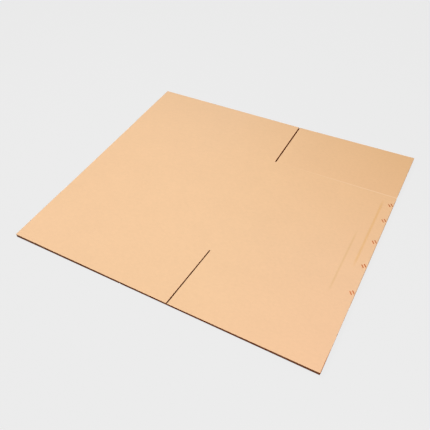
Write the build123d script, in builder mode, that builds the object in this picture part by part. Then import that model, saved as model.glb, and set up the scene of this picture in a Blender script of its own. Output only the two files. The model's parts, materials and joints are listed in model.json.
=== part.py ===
from build123d import *
import os
from math import atan, cos, floor, hypot, radians, sin

# A slotted shipping carton of single-wall corrugated board, stitched at one corner and
# knocked down flat, with its four upper flaps free to fold back.
# X runs along the flattened width, Y along the flutes from front to back, and Z is up.
# The origin is on the floor under the middle of the flattened carton. Millimetres.

# Corrugated board
board = 4.0
facing = 0.5
flute_paper = 0.5
flute_pitch = 8.0
flute_reach = 24.0
flute_margin = 8.0

# Panels, flaps and glue tab, from crease to crease
long_panel = 508.0
short_panel = 356.0
body_height = 371.0
flap_depth = 179.0
tab_width = 29.5
tab_end_cut = 8.0

# Slots between the flaps, and how far each strays from its crease towards the short panel
slot_width = 3.0
back_slot_stray = -3.5
front_slot_root_stray = -11.5
front_slot_mouth_stray = -24.0
lower_back_slot_stray = 0.0
lower_front_slot_root_stray = 4.0
lower_front_slot_mouth_stray = 10.0

# How far the lower flaps' cut edges have swung, to the front at the left end and to the back
# at the right end, because the carton was folded a little out of square
lower_swing = 1.2

# Scores crushed into the inner facing, and the fine line that they leave outside
score_width = 6.0
score_bed = 2.0
score_depth = 1.6
outer_line_width = 1.4
outer_line_depth = 0.3

# Lines that the tab's edge has pressed into the short panel, here and in the stack that it lay in
pressed_line_width = 2.4
pressed_line_depth = 0.2
tab_line_back = 168.0
tab_line_front = -84.0
stack_line_inset = 57.5
stack_line_back = 36.0
stack_line_front = -172.0

# Lying flat: air between the layers, and the rounded folds at both ends
layer_gap = 0.6
tab_gap = 0.3
tab_seat = 0.15
fold_nose = 3.4
fold_wall = 3.6

# Stitches of flat wire, in slanting pairs through the short panel and the tab
wire_width = 2.2
wire_thickness = 0.5
wire_bend = 0.45
wire_clearance = 0.1
stitch_length = 11.0
stitch_tip = 4.0
stitch_slant = radians(50)
stitch_pair_spacing = 6.6
stitch_inset = 7.5
stitch_end = 33.0
stitch_first_pitch = 60.0
stitch_pitch = 79.0
stitch_pitch_growth = 2.5

# Levels
upper_bottom = board + layer_gap
upper_top = upper_bottom + board
tab_bottom = board + tab_gap
tab_top = tab_bottom + board

# Places along X and Y
flat_width = long_panel + short_panel
left = -flat_width / 2
right = flat_width / 2
upper_crease = left + long_panel
lower_crease = right - long_panel
tab_edge = right - tab_width
score_y = body_height / 2
mouth_y = score_y + flap_depth

# Outer faces, each with X = 0 on the crease between its long panel (X < 0) and its short panel.
# The upper short panel rises from its crease to lie on the tab's cut edge.
rise = atan((tab_top + tab_seat - upper_bottom) / (tab_edge - upper_crease))
upper_long = Plane(origin=(upper_crease, 0, upper_top), x_dir=(1, 0, 0), z_dir=(0, 0, 1))
upper_short = Plane(
    origin=(upper_crease, 0, upper_top),
    x_dir=(cos(rise), 0, sin(rise)),
    z_dir=(-sin(rise), 0, cos(rise)),
)
underside = Plane(origin=(lower_crease, 0, 0), x_dir=(-1, 0, 0), z_dir=(0, 0, -1))


def long_flap(stray, gap=slot_width / 2):
    """Ends along X of a long panel's flap, a gap away from the middle of the slot beside it."""
    return (slot_width / 2 - long_panel, stray - gap)


def short_flap(stray, end, gap=slot_width / 2):
    """Ends along X of a short panel's flap, from the slot beside it to the panel's other end."""
    return (stray + gap, end)


def flap_corners(root, mouth, side):
    """Corners of a flap from its score to its cut edge; side is 1 at the back, -1 in front."""
    return [
        (root[0], side * score_y),
        (root[1], side * score_y),
        (mouth[1], side * mouth_y),
        (mouth[0], side * mouth_y),
    ]


def lower_flap_corners(root, mouth, side):
    """Corners of a lower flap on the underside, with its cut edge swung out of square."""
    start, end = [side * mouth_y + lower_swing * (lower_crease - x) / right for x in mouth]
    return [*flap_corners(root, mouth, side)[:2], (mouth[1], end), (mouth[0], start)]


def score_tool(face, ends, side):
    """The crushed score inside the board along a flap's root, and the fine line outside."""
    across = Plane(
        origin=face.from_local_coords(Vector(ends[0], side * score_y, 0)),
        x_dir=face.y_dir,
        z_dir=face.x_dir,
    )
    with BuildPart() as tool:
        with BuildSketch(across):
            with BuildLine():
                Polyline(
                    (-score_width / 2, -board),
                    (-score_bed / 2, score_depth - board),
                    (score_bed / 2, score_depth - board),
                    (score_width / 2, -board),
                    close=True,
                )
            make_face()
            with BuildLine():
                Polyline(
                    (-outer_line_width / 2, 0),
                    (0, -outer_line_depth),
                    (outer_line_width / 2, 0),
                    close=True,
                )
            make_face()
        extrude(amount=ends[1] - ends[0])
    return tool.part


def pressed_line_tool(x, back, front):
    """A fine line pressed into the outer face of the upper short panel, along the flutes."""
    across = Plane(
        origin=upper_short.from_local_coords(Vector(x, back, 0)),
        x_dir=upper_short.x_dir,
        z_dir=-upper_short.y_dir,
    )
    half = pressed_line_width / 2
    with BuildPart() as tool:
        with BuildSketch(across):
            Polygon((-half, 0), (0, -pressed_line_depth), (half, 0), align=None)
        extrude(amount=back - front)
    return tool.part


def flute_tool(face, ends, side, swing=0.0):
    """The open flutes of a flap's cut edge, which swings out by up to swing."""
    middle = (ends[0] + ends[1]) / 2
    mouth = Plane(
        origin=face.from_local_coords(Vector(middle, side * (mouth_y + swing), -board / 2)),
        x_dir=face.x_dir,
        z_dir=face.y_dir * side,
    )
    core = board - 2 * facing
    slope = hypot(flute_pitch / 2, core)
    half_base = (flute_pitch - flute_paper * slope / core) / 2
    height = core - flute_paper * slope / flute_pitch
    count = floor((ends[1] - ends[0] - 2 * flute_margin) / flute_pitch)
    with BuildPart() as tool:
        with BuildSketch(mouth):
            for half in (-1, 1):
                with Locations((half * flute_pitch / 4, half * core / 2)):
                    with GridLocations(flute_pitch, 0, count, 1):
                        Polygon((-half_base, 0), (half_base, 0), (0, -half * height), align=None)
        extrude(amount=-flute_reach - swing)
    return tool.part


def tab_end_tool(side):
    """The slanting cut at one end of the tab, which leaves the boards above and below it whole."""
    with BuildPart() as tool:
        with BuildSketch(Plane.XY.offset(tab_bottom - tab_gap / 2)):
            Polygon(
                (right - fold_wall, side * score_y),
                (tab_edge - board, side * score_y),
                (tab_edge - board, side * (score_y - tab_end_cut)),
                (tab_edge, side * (score_y - tab_end_cut)),
                align=None,
            )
        extrude(amount=board + (tab_gap + tab_seat) / 2)
    return tool.part


def stitch_places():
    """Centre of each stitch on the upper short panel, in pairs from the back to the front."""
    rows = [score_y - stitch_end]
    pitch = stitch_pitch
    y = rows[0] - stitch_first_pitch
    while y > stitch_end / 2 - score_y:
        rows.append(y)
        y -= pitch
        pitch += stitch_pitch_growth
    x = short_panel - stitch_inset
    places = []
    for y in rows:
        for half in (-stitch_pair_spacing / 2, stitch_pair_spacing / 2):
            places.append((x + half * sin(stitch_slant), y + half * cos(stitch_slant)))
    return places


def stitch_plane(place):
    """Upright plane of a stitch, with X along its crown and Y out of the panel."""
    along = upper_short.x_dir * cos(stitch_slant) - upper_short.y_dir * sin(stitch_slant)
    return Plane(
        origin=upper_short.from_local_coords(Vector(*place, 0)),
        x_dir=along,
        z_dir=along.cross(upper_short.z_dir),
    )


def stitch_reach(place):
    """How far a stitch goes down to lie level with the underside of the tab."""
    level = upper_top + place[0] * sin(rise)
    return (level - tab_bottom) / cos(rise) - wire_clearance


def stitch_hole_tool(place):
    """Leg holes through the panel and the tab, and the dent of the clinched tips."""
    reach = stitch_reach(place)
    leg = (stitch_length - wire_thickness) / 2
    hole = wire_thickness + 2 * wire_clearance
    with BuildPart() as tool:
        with BuildSketch(stitch_plane(place)):
            for end in (-leg, leg):
                with Locations((end, wire_thickness)):
                    Rectangle(hole, reach + wire_thickness, align=(Align.CENTER, Align.MAX))
            with Locations((0, -reach - wire_clearance)):
                Rectangle(
                    stitch_length + 2 * wire_clearance,
                    hole,
                    align=(Align.CENTER, Align.MIN),
                )
        extrude(amount=wire_width / 2 + wire_clearance, both=True)
    return tool.part


os.makedirs("parts", exist_ok=True)
side_names = {1: "back", -1: "front"}
slots = {
    1: (back_slot_stray, back_slot_stray),
    -1: (front_slot_root_stray, front_slot_mouth_stray),
}
lower_slots = {
    1: (lower_back_slot_stray, lower_back_slot_stray),
    -1: (lower_front_slot_root_stray, lower_front_slot_mouth_stray),
}
fold_side = short_panel - slot_width / 2

# What is cut or crushed out of the sheet
cuts = [stitch_hole_tool(place) for place in stitch_places()]
cuts.append(pressed_line_tool(short_panel - tab_width, tab_line_back, tab_line_front))
cuts.append(pressed_line_tool(short_panel - stack_line_inset, stack_line_back, stack_line_front))
for side, (root, mouth) in lower_slots.items():
    cuts.append(score_tool(underside, long_flap(root, 0), side))
    cuts.append(score_tool(underside, short_flap(root, fold_side, 0), side))
    cuts.append(flute_tool(underside, long_flap(mouth), side, lower_swing))
    cuts.append(flute_tool(underside, short_flap(mouth, fold_side), side, lower_swing))
for side, (root, mouth) in slots.items():
    cuts.append(score_tool(upper_long, long_flap(root, 0), side))
    cuts.append(score_tool(upper_short, short_flap(root, short_panel, 0), side))
    cuts.append(tab_end_tool(side))

# The sheet: both body layers, the folds that join them, the tab and the four lower flaps
free_low = upper_short.from_local_coords(Vector(short_panel, 0, -board))
free_high = upper_short.from_local_coords(Vector(short_panel, 0, 0))
bed_end = upper_short.from_local_coords(Vector(score_bed / 2, 0, score_depth - board))
score_end = upper_short.from_local_coords(Vector(score_width / 2, 0, -board))
with BuildPart() as carton:
    with BuildSketch(Plane.XZ):
        with BuildLine():
            Line((left + fold_nose, 0), (right - fold_nose, 0))
            ThreePointArc(
                (right - fold_nose, 0), (right, tab_top / 2), (right - fold_nose, tab_top)
            )
            Polyline(
                (right - fold_nose, tab_top),
                (tab_edge, tab_top),
                (tab_edge, tab_bottom),
                (right - fold_wall, tab_bottom),
                (right - fold_wall, board),
                (lower_crease + score_width / 2, board),
                (lower_crease + score_bed / 2, board - score_depth),
                (lower_crease - score_bed / 2, board - score_depth),
                (lower_crease - score_width / 2, board),
                (left + fold_wall, board),
                (left + fold_wall, upper_bottom),
                (upper_crease - score_width / 2, upper_bottom),
                (upper_crease - score_bed / 2, upper_bottom + score_depth),
                (bed_end.X, bed_end.Z),
                (score_end.X, score_end.Z),
                (free_low.X, free_low.Z),
                (free_high.X, free_high.Z),
                (upper_crease, upper_top),
                (left + fold_nose, upper_top),
            )
            ThreePointArc((left + fold_nose, upper_top), (left, upper_top / 2), (left + fold_nose, 0))
        make_face()
    extrude(amount=score_y, both=True)
    with BuildSketch(underside):
        for side, (root, mouth) in lower_slots.items():
            long_ends = long_flap(root), long_flap(mouth)
            short_ends = short_flap(root, fold_side), short_flap(mouth, fold_side)
            Polygon(*lower_flap_corners(*long_ends, side), align=None)
            Polygon(*lower_flap_corners(*short_ends, side), align=None)
    extrude(amount=-board)
    add(cuts, mode=Mode.SUBTRACT)
carton.part.label = "carton"
export_step(carton.part, "parts/carton.step")

# The four upper flaps, which hinge on their scores
for side, (root, mouth) in slots.items():
    flaps = {
        "left": (upper_long, long_flap(root), long_flap(mouth), long_flap(root, 0)),
        "right": (
            upper_short,
            short_flap(root, short_panel),
            short_flap(mouth, short_panel),
            short_flap(root, short_panel, 0),
        ),
    }
    for hand, (face, root_ends, mouth_ends, score_ends) in flaps.items():
        flap_cuts = [score_tool(face, score_ends, side), flute_tool(face, mouth_ends, side)]
        with BuildPart() as flap:
            with BuildSketch(face):
                Polygon(*flap_corners(root_ends, mouth_ends, side), align=None)
            extrude(amount=-board)
            add(flap_cuts, mode=Mode.SUBTRACT)
        flap.part.label = f"flap_{side_names[side]}_{hand}"
        export_step(flap.part, f"parts/{flap.part.label}.step")

# The stitches: a crown, two legs and their tips, clinched towards each other under the tab
for number, place in enumerate(stitch_places(), start=1):
    reach = stitch_reach(place)
    with BuildPart() as stitch:
        with BuildSketch(stitch_plane(place)) as outline:
            with Locations((0, wire_thickness)):
                Rectangle(stitch_length, reach + wire_thickness, align=(Align.CENTER, Align.MAX))
            chamfer(outline.vertices().group_by(Axis.Y)[-1], wire_bend)
            Rectangle(
                stitch_length - 2 * wire_thickness,
                reach - wire_thickness,
                align=(Align.CENTER, Align.MAX),
                mode=Mode.SUBTRACT,
            )
            with Locations((0, -reach)):
                Rectangle(
                    stitch_length - 2 * stitch_tip, 2 * wire_thickness, mode=Mode.SUBTRACT
                )
        extrude(amount=wire_width / 2, both=True)
    stitch.part.label = f"stitch_{number}"
    export_step(stitch.part, f"parts/{stitch.part.label}.step")
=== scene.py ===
import json
from math import asin, atan2, cos, pi, radians, sin

import bmesh
import bpy
import numpy as np
from mathutils import Matrix, Vector

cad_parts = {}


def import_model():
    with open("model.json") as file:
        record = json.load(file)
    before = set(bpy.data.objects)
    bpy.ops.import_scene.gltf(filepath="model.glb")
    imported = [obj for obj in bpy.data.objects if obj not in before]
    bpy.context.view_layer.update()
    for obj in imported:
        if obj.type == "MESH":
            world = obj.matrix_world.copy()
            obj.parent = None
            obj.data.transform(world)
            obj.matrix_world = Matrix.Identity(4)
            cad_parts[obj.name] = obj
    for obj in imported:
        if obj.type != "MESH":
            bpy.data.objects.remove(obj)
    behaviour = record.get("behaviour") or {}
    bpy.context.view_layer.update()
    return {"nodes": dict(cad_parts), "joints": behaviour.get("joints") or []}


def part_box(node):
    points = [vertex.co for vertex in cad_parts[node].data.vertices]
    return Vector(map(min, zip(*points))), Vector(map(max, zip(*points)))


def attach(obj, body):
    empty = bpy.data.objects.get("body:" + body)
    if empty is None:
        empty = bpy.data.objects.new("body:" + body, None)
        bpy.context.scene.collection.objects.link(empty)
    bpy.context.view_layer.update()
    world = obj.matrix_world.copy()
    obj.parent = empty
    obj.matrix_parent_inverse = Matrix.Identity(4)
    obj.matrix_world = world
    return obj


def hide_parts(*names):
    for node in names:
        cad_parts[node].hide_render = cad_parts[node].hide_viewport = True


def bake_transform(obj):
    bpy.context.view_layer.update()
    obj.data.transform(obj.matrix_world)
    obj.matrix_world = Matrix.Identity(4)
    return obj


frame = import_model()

# Measures taken from the frame, in metres
joints = {joint["name"]: joint for joint in frame["joints"]}
crease_x, score_y, upper_top = joints["back_right_fold"]["pos_m"]
fold_axis = joints["back_right_fold"]["axis"]
rise = atan2(fold_axis[2], fold_axis[0])
flap_low, flap_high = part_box("flap_back_left")
board = flap_high.z - flap_low.z
upper_bottom = flap_low.z
mouth_y = flap_high.y
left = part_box("carton")[0].x
right = -left
long_panel = crease_x - left
short_panel = right - crease_x
lower_crease_x = -crease_x

# The board, in metres: thicknesses, flutes, and where the flutes are open past a score and at
# the short panel's free side
LINER = 0.0004
MEDIUM = 0.00035
PITCH = 0.008
WASHBOARD = 0.00004
FLUTE_END = 0.012
OPEN_SIDE = 0.003

# Cut edges, in metres: how far they are pressed together and how far in, how far they stray
# and in what waves, and the torn strips' widths beside the back and front slots
EDGE_PRESS = 0.00012
EDGE_REACH = 0.0012
RAGGED = 0.00012
RAGGED_WAVES = ((431, 0.0), (1187, 1.3), (2903, 2.1))
TORN = {1: 0.0007, -1: 0.00015}

# Slots, in metres: the lower ones' places from the crease at the score and at the mouth, for
# the back and the front, and how far the lower mouths swing
SLOT_HALF = 0.0015
LOWER_SLOTS = {1: (0.0, 0.0), -1: (0.004, 0.010)}
LOWER_SWING = 0.0012

# Scores and creases, folds, and the tab, in metres
SCORE_HALF = 0.003
SCORE_DEPTH = 0.0016
SCORE_GROOVE = 0.00012
FOLD_NOSE = 0.0034
FOLD_WALL = 0.0036
TAB_WIDTH = 0.0295
TAB_END_CUT = 0.008
TAB_BOTTOM = 0.0043
TAB_TOP = 0.0083

# Far ends of the panels' flat parts, from their crease
short_far = short_panel - FOLD_NOSE
long_far = FOLD_NOSE - long_panel

# Pressed lines on the short panel: distance from its free edge, and front and back ends
PRESSED_LINES = ((0.0295, -0.084, 0.168), (0.0575, FLUTE_END - score_y, 0.036))
LINE_HALF = 0.0012
LINE_DEPTH = 0.0002
LINE_FADE = 0.03

# Wire stitches, in metres
WIRE_WIDTH = 0.0022
WIRE_THICKNESS = 0.0005
WIRE_BEND = 0.0006
WIRE_CORNER = 0.0002
STITCH_LENGTH = 0.011
STITCH_TIP = 0.004
STITCH_SLANT = radians(50)
STITCH_BOW = 0.00015

# Steps of the meshes, and angles past which their edges are sharp
FINE_STEP = PITCH / 10
LOWER_STEP = PITCH / 9
COARSE_STEP = PITCH / 6
FOLD_STEPS = 16
STRIP_STEPS = 12
SCORE_STEPS = 4
WIRE_STEPS = 5
SHARP_BOARD = radians(34)
SHARP_WIRE = radians(50)

# Measures nearer than this are the same, and points nearer than the second are one
NEAR = 1e-5
WELD = 2e-6

# Material slots of the board, and its cells through the thickness that open flutes leave empty
OUTER, CUT, FLUTED, INNER, FREE = range(5)
HOLLOWS = [1, 3]

# Colours, as linear red, green and blue, and how light the threads in the paper are
KRAFT = (0.920, 0.598, 0.348)
# The inner face is painted much darker than kraft: painted shade for the slots and the gap between
# the layers
INSIDE_PAINTED_SHADE = (0.30, 0.155, 0.075)
SCORED = (1.0, 0.69, 0.45)
# Cut edges: the cut paper's own brown, darkened much further with painted shade for the shadowed
# flute pockets and slot walls
CUT_EDGE_AND_SHADE = (0.24, 0.045, 0.006)
SIDE_EDGE = (0.92, 0.62, 0.38)
# Colours that darken the free side and the outer face's right edge towards the front corner
SIDE_EDGE_FRONT = (0.30, 0.11, 0.035)
CORNER_DARKER = (0.62, 0.42, 0.28)
# The flutes' paper is painted shade: a dark brown standing in for the shade inside the flute
# cavities
FLUTE_PAPER_SHADED = (0.21, 0.045, 0.006)
COPPER = (0.44, 0.075, 0.008)
COPPER_WORN = (0.66, 0.20, 0.04)
GROUND = (0.8388, 0.8388, 0.8388)
WHITE = (1.0, 1.0, 1.0)
THREAD = 0.93

# Roughness, the wire's from its dull to its worn patches
PAPER_ROUGHNESS = 0.85
EDGE_ROUGHNESS = 0.95
WIRE_ROUGHNESS = (0.5, 0.3)

# Marks in the paper and on the wire: their sizes along X, as the fibres run, and across, in metres
FIBRE = (0.0026, 0.00022)
MOTTLE = (0.009, 0.006)
CLOUD = (0.11, 0.08)
TORN_FIBRE = (0.0007, 0.00025)
WIRE_PATCH = (0.0012, 0.0008)
WIRE_SCRATCH = (0.0006, 0.0002)

# Values of the noise at which threads, blotches, torn fibres and worn patches start and are full
THREAD_NOISE = (0.60, 0.72)
CLOUD_NOISE = (0.25, 0.75)
TORN_NOISE = (0.35, 0.65)
WORN_NOISE = (0.45, 0.70)
GLOSS_NOISE = (0.30, 0.70)

# Heights of the fine relief, in metres
FIBRE_RELIEF = 0.00004
TORN_RELIEF = 0.00008
WIRE_RELIEF = 0.00002

# Tints of the outer face, most of them painted light and shade: painted fall-off of the light
# towards the back right, a pinker tone towards the front right, painted extra light towards the
# front left, and painted shade past the back score on the right that lifts again towards the mouth.
# Each gives where it starts and is full along X and along Y, and its colour
PAINTED_LIGHT_AND_TONE = (
    ((-0.15, right), (-0.10, mouth_y), (1.0, 0.935, 0.82)),
    ((0.10, right), (0.33, -mouth_y), (0.995, 0.96, 0.99)),
    ((-0.10, left), (-0.15, -mouth_y), (1.03, 1.03, 1.045)),
    ((0.02, 0.36), (score_y, score_y + SCORE_HALF), (0.98, 0.966, 0.96)),
    ((0.02, 0.36), (score_y, mouth_y), (1.022, 1.034, 1.04)),
)

# Where the free sides' darkening towards the front starts and is full along Y, and how far the
# front corner's darkening reaches in over the outer face
FRONT_DARKENING = (-0.30, -0.335)
CORNER_DARK_REACH = 0.0016

# Half widths and tints along the pressed lines: painted shade in their grooves, with some stain
LINE_SHADE_AND_STAIN = ((0.0047, (0.955, 0.89, 0.72)), (0.004, (0.93, 0.91, 0.82)))

# The light line along the back score: its half width, where it is faint and clear along X, and
# how strong it is where it is faint
SCORE_LIGHT = 0.0014
SCORE_FAINT = 0.12
SCORE_CLEAR = 0.36
SCORE_FAINT_SHARE = 0.05

# The floor, the light from all round, and how much of the shadows on the floor is kept
FLOOR_SIZE = 12
AMBIENT = 0.40
FLOOR_KEPT = 0.05

# Lamps: name, place, what they face, size and power
LAMPS = (
    ("key", (-0.64, 0.08, 1.76), (0.03, -0.37, 0), 1.0, 19.2),
    ("fill", (1.24, -1.10, 1.28), (-0.13, 0.13, 0), 0.9, 14.4),
)

# The camera, with its lens and sensor in millimetres
CAMERA_PLACE = (0.5291, -0.7982, 0.9719)
CAMERA_TARGET = (0.0716, -0.0407, 0.0)
CAMERA_ROLL = radians(-4.201)
CAMERA_SENSOR = 36
CAMERA_LENS = 40.78
CAMERA_SHIFT = -0.0569


def spread(breaks, step):
    """Positions through all the breaks in order, evenly spaced between them by about a step."""
    values = [breaks[0]]
    for start, end in zip(breaks, breaks[1:]):
        count = max(1, round(abs(end - start) / step))
        values += [start + (end - start) * n / count for n in range(1, count + 1)]
    return np.array(values)


def ragged(x):
    """How far a cut edge strays inwards along it."""
    waves = sum(np.sin(pace * x + start) for pace, start in RAGGED_WAVES)
    return RAGGED * (1 + waves / len(RAGGED_WAVES))


def levels(x, flatness):
    """Depths of the board's six levels at x, from its outer face to its inner face.

    flatness is 0 where the liners sink between the flutes and 1 where they are pressed flat.
    """
    wave = np.cos(2 * pi * x / PITCH)
    reach = board / 2 - LINER - MEDIUM / 2
    slope = reach * 2 * pi / PITCH * np.sin(2 * pi * x / PITCH)
    half = MEDIUM / 2 * np.sqrt(1 + slope**2)
    middle = board / 2 - reach * wave
    low = np.clip(middle - half, LINER, board - LINER)
    high = np.clip(middle + half, LINER, board - LINER)
    touch = MEDIUM / 10
    low = np.where(low - LINER < touch, LINER, low)
    high = np.where(board - LINER - high < touch, board - LINER, high)
    sink = WASHBOARD * (1 - flatness)
    return np.stack(
        [
            sink * (1 - wave) / 2,
            np.full_like(x, LINER),
            low,
            high,
            np.full_like(x, board - LINER),
            board - sink * (1 + wave) / 2,
        ],
        -1,
    )


def score_share(y):
    """How far the score is crushed at y: 1 on its middle line and 0 past its sides."""
    return max(0.0, 1 - ((abs(y) - score_y) / SCORE_HALF) ** 2)


def flatness_at(y):
    """How flat the liners are pressed at y, round the scores."""
    return min(1.0, max(0.0, (FLUTE_END - abs(abs(y) - score_y)) / (FLUTE_END - SCORE_HALF)))


def outer_face(x, hand):
    """Outer face of the upper layer at x from its crease, and the way into the board."""
    tilt = rise if hand == "right" else 0.0
    face = np.stack([crease_x + x * cos(tilt), upper_top + x * sin(tilt)], -1)
    return face, np.array([sin(tilt), -cos(tilt)])


def upper_section(x, depth, hand):
    """Places in X and Z of the upper layer's levels at x from its crease, by their depth."""
    face, inward = outer_face(x, hand)
    return face[:, None] + depth[..., None] * inward


def add_piece(name, points, faces, slots, materials, sharp):
    """A closed mesh with its faces turned outwards, as an object in the scene."""
    mesh = bpy.data.meshes.new(name)
    mesh.from_pydata(points, [], faces)
    mesh.polygons.foreach_set("material_index", np.asarray(slots, np.int32))
    clean = bmesh.new()
    clean.from_mesh(mesh)
    bmesh.ops.remove_doubles(clean, verts=clean.verts, dist=WELD)
    bmesh.ops.recalc_face_normals(clean, faces=clean.faces)
    clean.to_mesh(mesh)
    clean.free()
    for material in materials:
        mesh.materials.append(material)
    mesh.polygons.foreach_set("use_smooth", np.ones(len(mesh.polygons), bool))
    mesh.set_sharp_from_angle(angle=sharp)
    piece = bpy.data.objects.new(name, mesh)
    bpy.context.scene.collection.objects.link(piece)
    return piece


def lattice(name, points, solid, cut_stations, free_columns, materials, torn_columns=()):
    """A closed mesh round the solid cells of a grid of columns, levels and stations.

    Sides along the columns are cut ones except at the free columns. Ends along the stations are
    fluted paper except at the cut stations. The outer face looks cut in its torn columns.
    """
    counts = points.shape[:3]
    padded = np.zeros([count + 1 for count in counts], bool)
    padded[1:-1, 1:-1, 1:-1] = solid
    index = np.arange(np.prod(counts)).reshape(counts)
    quads = []
    slots = []
    for axis in range(3):
        inner = [slice(1, -1)] * 3
        inner[axis] = slice(None)
        cells = np.moveaxis(padded[tuple(inner)], axis, 0)
        grid = np.moveaxis(index, axis, 0)
        plane, row, col = np.nonzero(cells[:-1] != cells[1:])
        corners = [(row, col), (row + 1, col), (row + 1, col + 1), (row, col + 1)]
        quads.append(np.stack([grid[plane, r, c] for r, c in corners], -1))
        if axis == 0:
            slots.append(np.where(np.isin(plane, free_columns), FREE, CUT))
        elif axis == 1:
            torn = (plane == 0) & np.isin(row, torn_columns)
            which = [torn, plane == 0, plane == counts[1] - 1]
            slots.append(np.select(which, [CUT, OUTER, INNER], FLUTED))
        else:
            slots.append(np.where(np.isin(plane, cut_stations), CUT, FLUTED))
    quads = np.concatenate(quads)
    used, faces = np.unique(quads, return_inverse=True)
    points = points.reshape(-1, 3)[used].tolist()
    faces = faces.reshape(quads.shape).tolist()
    return add_piece(name, points, faces, np.concatenate(slots), materials, SHARP_BOARD)


def flap_name(side, hand):
    """Name of an upper flap: side is 1 at the back and -1 at the front."""
    return f"flap_{'back' if side > 0 else 'front'}_{hand}"


def flap_sides(side, hand):
    """A flap's sides from the crease: the slot's side at the root and the mouth, and the other."""
    node = frame["nodes"][flap_name(side, hand)]
    corners = np.array([vertex.co for vertex in node.data.vertices])
    x = (corners[:, 0] - crease_x) / cos(rise if hand == "right" else 0.0)
    rows = [x[np.abs(corners[:, 1] - side * y) < NEAR] for y in (score_y, mouth_y)]
    if hand == "left":
        return rows[0].max(), rows[1].max(), rows[0].min()
    return rows[0].min(), rows[1].min(), rows[0].max()


def flap_sheet(side, hand, materials):
    """One upper flap, with its flutes open at its mouth."""
    root, mouth, far = flap_sides(side, hand)
    low, high = sorted((root, far))
    torn_x = root - TORN[side] if far < root else root + TORN[side]
    x = spread(sorted((low, low + EDGE_REACH, high - EDGE_REACH, high, torn_x)), FINE_STEP)
    free_column, torn_column = (0, len(x) - 2) if far < root else (len(x) - 1, 0)
    stations = (score_y + SCORE_HALF, score_y + FLUTE_END, mouth_y - EDGE_REACH, mouth_y)
    share = (x - far) / (root - far)
    side_press = np.clip(1 - np.minimum(x - low, high - x) / EDGE_REACH, 0, 1)
    points = np.zeros((len(x), 6, len(stations), 3))
    for k, y in enumerate(stations):
        lean = (y - score_y) / (mouth_y - score_y) * (mouth - root)
        depth = levels(x, flatness_at(y))
        press = EDGE_PRESS * np.maximum(side_press, y == mouth_y)
        depth[:, 0] += press
        depth[:, 5] -= press
        points[:, :, k, ::2] = upper_section(x + share * lean, depth, hand)
        points[:, :, k, 1] = side * y
    points[:, :, -1, 1] -= side * ragged(x)[:, None]
    solid = np.ones((len(x) - 1, 5, len(stations) - 1), bool)
    solid[:, HOLLOWS, 1:] = False
    body = flap_name(side, hand)
    cut = [len(stations) - 1]
    piece = lattice(f"{body}_sheet", points, solid, cut, [free_column], materials, [torn_column])
    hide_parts(body)
    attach(piece, body)


def score_strip(side, hand, materials):
    """The crushed board along an upper flap's score."""
    root, _, far = flap_sides(side, hand)
    x = spread(sorted((root, far)), COARSE_STEP)
    across = np.linspace(-SCORE_HALF, SCORE_HALF, STRIP_STEPS + 1)
    points = np.zeros((len(x), 2, len(across), 3))
    for k, offset in enumerate(across):
        share = score_share(score_y + offset)
        depth = np.array([SCORE_GROOVE * share, board - SCORE_DEPTH * share])
        points[:, :, k, ::2] = upper_section(x, depth, hand)
        points[:, :, k, 1] = side * (score_y + offset)
    solid = np.ones((len(x) - 1, 1, len(across) - 1), bool)
    free_column = 0 if far < root else len(x) - 1
    body = flap_name(side, hand)
    piece = lattice(f"{body}_score", points, solid, [], [free_column], materials)
    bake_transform(piece)


def panel(name, x, outer, inward):
    """A flat panel of the sheet's section, crushed at its crease, which is at x = 0."""
    thick = board - SCORE_DEPTH * np.clip(1 - (x / SCORE_HALF) ** 2, 0, 1)
    return name, outer, outer + thick[:, None] * inward, x


def fold(name, edge, out, top, gap, upwards):
    """A fold of the sheet's section, whose outermost line is at edge."""
    radius = ((top / 2) ** 2 + FOLD_NOSE**2) / (2 * FOLD_NOSE)
    reach = asin(top / 2 / radius)
    turn = np.linspace(-1, 1, FOLD_STEPS + 1) * (1 if upwards else -1)
    middle = edge - out * radius
    outer = np.stack(
        [middle + out * radius * np.cos(turn * reach), top / 2 + radius * np.sin(turn * reach)],
        -1,
    )
    middle = edge - out * (FOLD_WALL + gap / 2)
    inner = np.stack(
        [
            middle + out * gap / 2 * np.cos(turn * pi / 2),
            top / 2 + gap / 2 * np.sin(turn * pi / 2),
        ],
        -1,
    )
    return name, outer, inner, np.zeros(len(outer))


def carton_panels():
    """The sheet's panels and folds in order: name, outer and inner points, place for the flutes."""
    breaks = []
    for inset, _, _ in PRESSED_LINES:
        middle = short_panel - inset
        breaks += [middle + LINE_HALF * part for part in (-1, -0.5, 0, 0.5, 1)]
    breaks = [short_panel, short_panel - OPEN_SIDE, *sorted(breaks)[::-1], SCORE_HALF, 0]
    x = spread(breaks, COARSE_STEP)
    panels = [panel("upper_right", x, *outer_face(x, "right"))]

    breaks = [0, -SCORE_HALF, long_far]
    for side in (1, -1):
        breaks += [flap_sides(side, "left")[0], flap_sides(side, "right")[0]]
    x = spread(sorted(breaks)[::-1], COARSE_STEP)
    panels.append(panel("upper_left", x, *outer_face(x, "left")))
    panels.append(fold("left_fold", left, -1, upper_top, upper_bottom - board, False))

    breaks = [short_far, SCORE_HALF, -SCORE_HALF, long_far]
    for root, _ in LOWER_SLOTS.values():
        breaks += [root - SLOT_HALF, root + SLOT_HALF]
    x = spread(sorted(breaks)[::-1], LOWER_STEP)
    outer = np.stack([lower_crease_x - x, 0 * x], -1)
    panels.append(panel("lower", x, outer, np.array([0, 1])))
    panels.append(fold("right_fold", right, 1, TAB_TOP, TAB_BOTTOM - board, True))

    x = spread([right - FOLD_NOSE, right - TAB_WIDTH], COARSE_STEP)
    outer = np.stack([x, np.full_like(x, TAB_TOP)], -1)
    inner = np.stack([x, np.full_like(x, TAB_BOTTOM)], -1)
    panels.append(("tab", outer, inner, x))
    return panels


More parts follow.
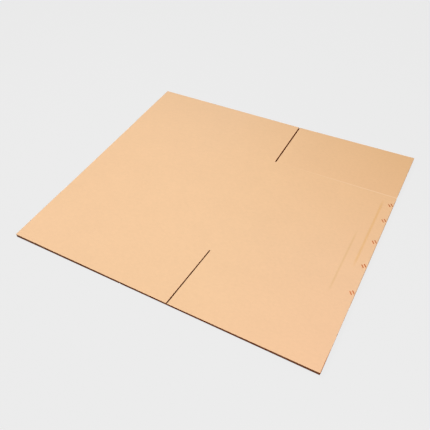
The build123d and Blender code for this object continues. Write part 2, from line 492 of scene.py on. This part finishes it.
def carton_columns():
    """All the sheet's columns in one row, and the panel of each cell between two of them."""
    names, *parts = zip(*carton_panels())
    outer, inner, x = (
        np.concatenate([part[0][:1], *(values[1:] for values in part)]) for part in parts
    )
    return outer, inner, x, np.repeat(names, [len(values) - 1 for values in parts[2]])


def carton_stations():
    """Places along Y where the sheet's section is set."""
    stations = set()
    for side in (-1, 1):
        for offset in np.linspace(-SCORE_HALF, SCORE_HALF, SCORE_STEPS + 1):
            stations.add(round(side * (score_y + offset), 6))
        for y in (score_y - FLUTE_END, score_y + FLUTE_END, mouth_y - EDGE_REACH, mouth_y):
            stations.add(round(side * y, 6))
    for _, front, back in PRESSED_LINES:
        for y in (front, front + LINE_FADE, back - LINE_FADE, back):
            stations.add(round(y, 6))
    return np.array(sorted(stations))


def line_dip(x, y):
    """Depth of the pressed lines at x from the upper crease."""
    dip = np.zeros_like(x)
    for inset, front, back in PRESSED_LINES:
        across = np.clip(1 - np.abs(x - (short_panel - inset)) / LINE_HALF, 0, 1)
        along = np.clip(min(y - front, back - y) / LINE_FADE, 0, 1)
        dip += LINE_DEPTH * across * along
    return dip


def lower_shift(x, y):
    """How far the lower layer is moved along X at x from its crease.

    Past a score its slot strays, and its free sides reach out beside the folds.
    """
    root, mouth = LOWER_SLOTS[1 if y > 0 else -1]
    past = max(0.0, (abs(y) - score_y) / (mouth_y - score_y))
    short_share = (short_far - x) / (short_far - root - SLOT_HALF)
    long_share = (x - long_far) / (root - SLOT_HALF - long_far)
    near = np.clip(np.minimum(short_share, long_share), 0, 1)
    shift = near * past * (mouth - root)
    if abs(y) > score_y + NEAR:
        shift += (1 - near) * np.sign(x) * (FOLD_NOSE - SLOT_HALF)
    return shift


def carton_points(outer, inner, x, kind, stations):
    """Points of the sheet's grid of columns, levels and stations."""
    of_column = np.array([kind[0], *kind])
    scored = np.isin(of_column, ("upper_left", "upper_right", "lower"))
    slant = np.clip((right - FOLD_WALL - outer[:, 0]) / (TAB_WIDTH - FOLD_WALL), 0, 1)
    narrowing = 1 - np.where(of_column == "tab", slant, 0) * TAB_END_CUT / score_y
    points = np.zeros((len(x), 6, len(stations), 3))
    for k, y in enumerate(stations):
        depth = levels(x, np.where(scored, flatness_at(y), 1.0))
        depth[:, 0] += np.where(of_column == "upper_right", line_dip(x, y), 0)
        press = EDGE_PRESS * (abs(y) > mouth_y - NEAR)
        depth[:, 0] += press
        depth[:, 5] -= press
        crushed = score_share(y) * scored
        share = depth / board * (1 - crushed * SCORE_DEPTH / board)[:, None]
        share[:, 0] += crushed * SCORE_GROOVE / board
        points[:, :, k, ::2] = outer[:, None] + (inner - outer)[:, None] * share[:, :, None]
        points[:, :, k, 0] -= np.where(of_column == "lower", lower_shift(x, y), 0)[:, None]
        points[:, :, k, 1] = (y * narrowing)[:, None]
    for k in (0, -1):
        points[:, :, k, 1] *= (1 - ragged(x) / mouth_y)[:, None]
    for k in (0, 1, -2, -1):
        points[:, :, k, 1] += LOWER_SWING * points[:, :, k, 0] / right
    return points


def carton_cells(x, kind, stations):
    """Which cells of the sheet's grid are solid."""
    middle_x = (x[:-1] + x[1:]) / 2
    middle_y = np.abs(stations[:-1] + stations[1:]) / 2
    middle_side = np.sign(stations[:-1] + stations[1:])
    upper = np.isin(kind, ("upper_left", "upper_right"))
    lower = kind == "lower"
    inside = upper[:, None] & (middle_y < score_y - SCORE_HALF)
    inside |= (~upper)[:, None] & (middle_y < score_y)
    inside |= lower[:, None]
    for side in (1, -1):
        at_side = middle_side == side
        slot = flap_sides(side, "left")[0], flap_sides(side, "right")[0]
        in_slot = (kind == "upper_left") & (middle_x > slot[0]) & (middle_x < slot[1])
        inside |= in_slot[:, None] & at_side & (middle_y < score_y)
        in_slot = lower & (np.abs(middle_x - LOWER_SLOTS[side][0]) < SLOT_HALF)
        inside &= ~(in_slot[:, None] & at_side & (middle_y > score_y))
    empty = lower[:, None] & (middle_y > score_y + FLUTE_END)
    empty |= ((kind == "upper_right") & (middle_x > short_panel - OPEN_SIDE))[:, None]
    solid = np.repeat(inside[:, None], 5, 1)
    solid[:, HOLLOWS] &= ~empty[:, None]
    return solid


def carton_sheet(materials):
    """The folded sheet: two body layers, the folds, the tab and the four lower flaps."""
    outer, inner, x, kind = carton_columns()
    stations = carton_stations()
    points = carton_points(outer, inner, x, kind, stations)
    solid = carton_cells(x, kind, stations)
    scores = np.nonzero(np.abs(np.abs(stations) - score_y) < NEAR)[0]
    cut = [0, *scores, len(stations) - 1]
    free = [0, np.argmax(x <= short_panel - OPEN_SIDE + NEAR), np.argmax(kind == "lower")]
    piece = lattice("carton_sheet", points, solid, cut, free, materials)
    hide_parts("carton")
    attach(piece, "carton")


def wire_section():
    """Corners of the wire's rounded section, across it and through it."""
    corners = []
    for quarter, (across, through) in enumerate(((1, 1), (-1, 1), (-1, -1), (1, -1))):
        for turn in (15, 45, 75):
            angle = radians(90 * quarter + turn)
            corners.append(
                (
                    across * (WIRE_WIDTH / 2 - WIRE_CORNER) + WIRE_CORNER * cos(angle),
                    through * (WIRE_THICKNESS / 2 - WIRE_CORNER) + WIRE_CORNER * sin(angle),
                )
            )
    return corners


def wire_path(reach):
    """Middle line of a stitch, along its crown and out of the panel, from tip to tip."""
    half = (STITCH_LENGTH - WIRE_THICKNESS) / 2
    top = WIRE_THICKNESS / 2
    bottom = WIRE_THICKNESS / 2 - reach
    bend = half - WIRE_BEND
    turn = np.linspace(0, pi / 2, WIRE_STEPS + 1)
    crown = np.linspace(0, bend, WIRE_STEPS + 1)
    bow = [crown, top + STITCH_BOW * (1 - (crown / bend) ** 2)]
    shoulder = [bend + WIRE_BEND * np.sin(turn), top - WIRE_BEND + WIRE_BEND * np.cos(turn)]
    heel = [bend + WIRE_BEND * np.cos(turn), bottom + WIRE_BEND - WIRE_BEND * np.sin(turn)]
    tip = [[half - STITCH_TIP], [bottom]]
    side = np.concatenate([bow, np.array(shoulder)[:, 1:], heel, tip], 1).T
    return np.concatenate([side[:0:-1] * (-1, 1), side])


def wire_stitch(name, material):
    """One stitch of flat wire, where its solid is: a bowed crown, two legs and clinched tips."""
    low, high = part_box(name)
    place = np.array([(low.x + high.x) / 2 - crease_x]) / cos(rise)
    face, inward = outer_face(place, "right")
    reach = face[0, 1] - low.z - STITCH_LENGTH / 2 * sin(rise) * cos(STITCH_SLANT)
    origin = Vector((face[0, 0] - reach / 2 * sin(rise), (low.y + high.y) / 2, face[0, 1]))
    up = -Vector((inward[0], 0, inward[1]))
    along = Vector((cos(rise), 0, sin(rise))) * cos(STITCH_SLANT)
    along -= Vector((0, 1, 0)) * sin(STITCH_SLANT)
    across = along.cross(up)
    path = wire_path(reach)
    ways = np.gradient(path, axis=0)
    ways /= np.linalg.norm(ways, axis=1)[:, None]
    corners = wire_section()
    points = []
    for (u, v), (du, dv) in zip(path, ways):
        for side, through in corners:
            flat = along * (u - dv * through) + up * (v + du * through)
            points.append(origin + flat + across * side)
    count = len(corners)
    faces = [list(range(count)), list(range(len(points) - count, len(points)))]
    for start in range(0, len(points) - count, count):
        for n in range(count):
            a, b = start + n, start + (n + 1) % count
            faces.append((a, b, b + count, a + count))
    slots = [0] * len(faces)
    piece = add_piece(
        f"{name}_wire", points, faces, slots, [material], SHARP_WIRE
    )
    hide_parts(name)
    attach(piece, "carton")


def shade(color, amount):
    """A colour made lighter or darker."""
    return tuple(min(1.0, part * amount) for part in color)


def link(tree, value, socket):
    """Feeds a node's socket from another socket, a number or a colour."""
    if isinstance(value, bpy.types.NodeSocket):
        tree.links.new(value, socket)
    elif isinstance(value, tuple):
        socket.default_value = (*value, 1.0)
    else:
        socket.default_value = value


def calc(tree, operation, first, second=0.0):
    """The result of one step of arithmetic on sockets or numbers."""
    step = tree.nodes.new("ShaderNodeMath")
    step.operation = operation
    link(tree, first, step.inputs[0])
    link(tree, second, step.inputs[1])
    return step.outputs[0]


def ramp(tree, value, start, end, low=0.0, high=1.0):
    """The value's way from start to end, turned into low to high and held between them."""
    step = tree.nodes.new("ShaderNodeMapRange")
    for socket, number in zip(step.inputs, (value, start, end, low, high)):
        link(tree, number, socket)
    return step.outputs[0]


def line(tree, value, middle, half):
    """1 where the value is at the middle, falling to 0 a half width away."""
    away = calc(tree, "ABSOLUTE", calc(tree, "SUBTRACT", value, middle))
    return ramp(tree, away, 0.0, half, 1.0, 0.0)


def mix(tree, share, first, second, way="MIX"):
    """Two colours mixed by a share."""
    step = tree.nodes.new("ShaderNodeMix")
    step.data_type = "RGBA"
    step.blend_type = way
    link(tree, share, step.inputs[0])
    link(tree, first, step.inputs[6])
    link(tree, second, step.inputs[7])
    return step.outputs[2]


def tinted(tree, share, paint, tint):
    """A colour multiplied by a tint, by a share."""
    return mix(tree, share, paint, tint, "MULTIPLY")


def axes(tree, place):
    """The place's X, Y and Z."""
    step = tree.nodes.new("ShaderNodeSeparateXYZ")
    tree.links.new(place, step.inputs[0])
    return step.outputs


def grain(tree, place, size, detail):
    """Noise with marks of about the given sizes along X and across it."""
    scaled = tree.nodes.new("ShaderNodeVectorMath")
    scaled.operation = "MULTIPLY"
    tree.links.new(place, scaled.inputs[0])
    scaled.inputs[1].default_value = (1 / size[0], 1 / size[1], 1 / size[1])
    noise = tree.nodes.new("ShaderNodeTexNoise")
    noise.inputs["Scale"].default_value = 1.0
    noise.inputs["Detail"].default_value = detail
    tree.links.new(scaled.outputs[0], noise.inputs["Vector"])
    return noise.outputs[0]


def new_material(name, roughness, specular=0.2):
    """A material, its node tree, its shader, and the place on the object."""
    material = bpy.data.materials.new(name)
    material.use_nodes = True
    tree = material.node_tree
    shader = tree.nodes["Principled BSDF"]
    shader.inputs["Roughness"].default_value = roughness
    shader.inputs["Specular IOR Level"].default_value = specular
    place = tree.nodes.new("ShaderNodeTexCoord").outputs["Object"]
    return material, tree, shader, place


def bump(tree, shader, height, distance):
    """Fine relief on a material, in metres."""
    relief = tree.nodes.new("ShaderNodeBump")
    relief.inputs["Strength"].default_value = 1.0
    relief.inputs["Distance"].default_value = distance
    tree.links.new(height, relief.inputs["Height"])
    tree.links.new(relief.outputs[0], shader.inputs["Normal"])


def paper(name, color, contrast):
    """Kraft paper: mottled and clouded, with fine fibres along X."""
    material, tree, shader, place = new_material(name, PAPER_ROUGHNESS)
    fibres = grain(tree, place, FIBRE, detail=3.0)
    mottle = ramp(tree, grain(tree, place, MOTTLE, detail=4.0), *CLOUD_NOISE)
    cloud = ramp(tree, grain(tree, place, CLOUD, detail=2.0), *CLOUD_NOISE)
    thread = ramp(tree, fibres, *THREAD_NOISE)
    paint = mix(tree, mottle, shade(color, 1 - contrast), shade(color, 1 + contrast))
    paint = tinted(tree, cloud, paint, shade(WHITE, 1 - contrast))
    paint = tinted(tree, thread, paint, shade(WHITE, THREAD))
    tree.links.new(paint, shader.inputs["Base Color"])
    bump(tree, shader, fibres, FIBRE_RELIEF)
    return material, tree, shader, place, paint


def torn_paper(tree, shader, place, color, dark, light):
    """Torn fibres, from darker to lighter than the colour."""
    fibres = grain(tree, place, TORN_FIBRE, detail=4.0)
    bump(tree, shader, fibres, TORN_RELIEF)
    share = ramp(tree, fibres, *TORN_NOISE)
    return mix(tree, share, shade(color, dark), shade(color, light))


def outer_facing():
    """The outer face, with its tints of painted light and shade and one pinker tone, the pressed
    lines' painted shade and stains, the score and a darker strip at the front right corner.
    """
    material, tree, shader, place, paint = paper("kraft_facing", KRAFT, contrast=0.02)
    x, y, z = axes(tree, place)
    # Painted light and shade, and one pinker tone, laid over the paper as tints
    for along_x, along_y, tint in PAINTED_LIGHT_AND_TONE:
        share = calc(tree, "MULTIPLY", ramp(tree, x, *along_x), ramp(tree, y, *along_y))
        paint = tinted(tree, share, paint, tint)
    on_top = calc(tree, "GREATER_THAN", z, upper_top)
    # Painted shade with some stain along the pressed lines' grooves
    for (inset, front, back), (half, tint) in zip(PRESSED_LINES, LINE_SHADE_AND_STAIN):
        across = line(tree, x, crease_x + (short_panel - inset) * cos(rise), half)
        ends = calc(tree, "SUBTRACT", y, front), calc(tree, "SUBTRACT", back, y)
        along = ramp(tree, calc(tree, "MINIMUM", *ends), 0.0, LINE_FADE)
        share = calc(tree, "MULTIPLY", calc(tree, "MULTIPLY", across, along), on_top)
        paint = tinted(tree, share, paint, tint)
    clear = ramp(tree, x, SCORE_FAINT, SCORE_CLEAR, SCORE_FAINT_SHARE, 1.0)
    share = calc(tree, "MULTIPLY", line(tree, y, score_y, SCORE_LIGHT), clear)
    paint = mix(tree, calc(tree, "MULTIPLY", share, on_top), paint, SCORED)
    # Darker along the right edge towards the front corner
    wear_and_darkening = ramp(tree, x, right - CORNER_DARK_REACH, right - CORNER_DARK_REACH / 2)
    wear_and_darkening = calc(tree, "MULTIPLY", wear_and_darkening, ramp(tree, y, *FRONT_DARKENING))
    paint = tinted(tree, wear_and_darkening, paint, CORNER_DARKER)
    tree.links.new(paint, shader.inputs["Base Color"])
    return material


def painted_shade_edge(name, color):
    """A cut edge or the flutes inside it, with torn fibres and no gloss, its colour darkened with
    painted shade.
    """
    material, tree, shader, place = new_material(name, EDGE_ROUGHNESS, specular=0.0)
    paint = torn_paper(tree, shader, place, color, dark=0.7, light=1.3)
    tree.links.new(paint, shader.inputs["Base Color"])
    return material


def side_edge():
    """The free cut sides, browner and darker towards the front corner."""
    material, tree, shader, place = new_material("side_edge", EDGE_ROUGHNESS)
    paint = torn_paper(tree, shader, place, SIDE_EDGE, dark=0.9, light=1.08)
    # Darker towards the front corner
    wear_and_darkening = ramp(tree, axes(tree, place)[1], *FRONT_DARKENING)
    paint = mix(tree, wear_and_darkening, paint, SIDE_EDGE_FRONT)
    tree.links.new(paint, shader.inputs["Base Color"])
    return material


def wire_material():
    """Copper-coated steel wire, dull and darkened, with brighter patches of wear."""
    dull, wear_and_darkening = WIRE_ROUGHNESS
    material, tree, shader, place = new_material("stitching_wire", (dull + wear_and_darkening) / 2)
    patches = grain(tree, place, WIRE_PATCH, detail=3.0)
    paint = mix(tree, ramp(tree, patches, *WORN_NOISE), COPPER, COPPER_WORN)
    tree.links.new(paint, shader.inputs["Base Color"])
    roughness = ramp(tree, patches, *GLOSS_NOISE, dull, wear_and_darkening)
    tree.links.new(roughness, shader.inputs["Roughness"])
    shader.inputs["Metallic"].default_value = 1.0
    bump(tree, shader, grain(tree, place, WIRE_SCRATCH, detail=2.0), WIRE_RELIEF)
    return material


def seen_directly(tree):
    """1 for what the camera sees, straight or in a glossy surface, and 0 for other rays."""
    ray = tree.nodes.new("ShaderNodeLightPath")
    return calc(tree, "MAXIMUM", ray.outputs["Is Camera Ray"], ray.outputs["Is Glossy Ray"])


def blend_shaders(tree, share, first, second, output):
    """Feeds the output from two shaders, by the second one's share."""
    blend = tree.nodes.new("ShaderNodeMixShader")
    tree.links.new(share, blend.inputs["Fac"])
    tree.links.new(first.outputs[0], blend.inputs[1])
    tree.links.new(second.outputs[0], blend.inputs[2])
    tree.links.new(blend.outputs[0], tree.nodes.new(output).inputs["Surface"])


def floor():
    """A pale floor that shows as an even ground and keeps a soft shadow."""
    bpy.ops.mesh.primitive_plane_add(size=FLOOR_SIZE, location=(0, 0, 0))
    plane = bpy.context.object
    plane.name = "floor"
    material = bpy.data.materials.new("floor")
    material.use_nodes = True
    tree = material.node_tree
    tree.nodes.clear()
    diffuse = tree.nodes.new("ShaderNodeBsdfDiffuse")
    link(tree, GROUND, diffuse.inputs["Color"])
    glow = tree.nodes.new("ShaderNodeEmission")
    link(tree, GROUND, glow.inputs["Color"])
    share = calc(tree, "MULTIPLY", seen_directly(tree), 1 - FLOOR_KEPT)
    blend_shaders(tree, share, diffuse, glow, "ShaderNodeOutputMaterial")
    plane.data.materials.append(material)


def world():
    """Even surroundings that light the object and show as the same pale ground."""
    scene_world = bpy.data.worlds.new("studio")
    bpy.context.scene.world = scene_world
    scene_world.use_nodes = True
    tree = scene_world.node_tree
    tree.nodes.clear()
    light = tree.nodes.new("ShaderNodeBackground")
    link(tree, AMBIENT, light.inputs["Strength"])
    seen = tree.nodes.new("ShaderNodeBackground")
    link(tree, GROUND, seen.inputs["Color"])
    blend_shaders(tree, seen_directly(tree), light, seen, "ShaderNodeOutputWorld")


def aim(thing, target, roll=0.0):
    """Turns a light or camera to look at the target."""
    track = (Vector(target) - thing.location).to_track_quat("-Z", "Y")
    thing.rotation_euler = (track.to_matrix() @ Matrix.Rotation(roll, 3, "Z")).to_euler()


def softbox(name, place, target, size, power):
    """A square area light that isn't seen itself."""
    lamp = bpy.data.lights.new(name, "AREA")
    lamp.shape = "SQUARE"
    lamp.size = size
    lamp.energy = power
    box = bpy.data.objects.new(name, lamp)
    box.location = place
    box.visible_camera = False
    bpy.context.scene.collection.objects.link(box)
    aim(box, target)


def view():
    """The camera, where the photograph was taken from."""
    lens = bpy.data.cameras.new("camera")
    lens.sensor_width = CAMERA_SENSOR
    lens.lens = CAMERA_LENS
    lens.shift_x = CAMERA_SHIFT
    camera = bpy.data.objects.new("camera", lens)
    camera.location = CAMERA_PLACE
    bpy.context.scene.collection.objects.link(camera)
    aim(camera, CAMERA_TARGET, CAMERA_ROLL)
    bpy.context.scene.camera = camera
    bpy.context.scene.view_settings.view_transform = "Standard"


board_materials = (
    outer_facing(),
    # The cut edges' material carries painted shade in its colour
    painted_shade_edge("cut_edge", CUT_EDGE_AND_SHADE),
    # The flutes' material carries painted shade in its colour
    painted_shade_edge("flute_paper", FLUTE_PAPER_SHADED),
    # The inner face's material carries painted shade in its colour
    paper("kraft_inside", INSIDE_PAINTED_SHADE, contrast=0.04)[0],
    side_edge(),
)
carton_sheet(board_materials)
for side in (1, -1):
    for hand in ("left", "right"):
        flap_sheet(side, hand, board_materials)
        score_strip(side, hand, board_materials)
wire = wire_material()
for name in frame["nodes"]:
    if name.startswith("stitch_"):
        wire_stitch(name, wire)

floor()
world()
for lamp in LAMPS:
    softbox(*lamp)
view()
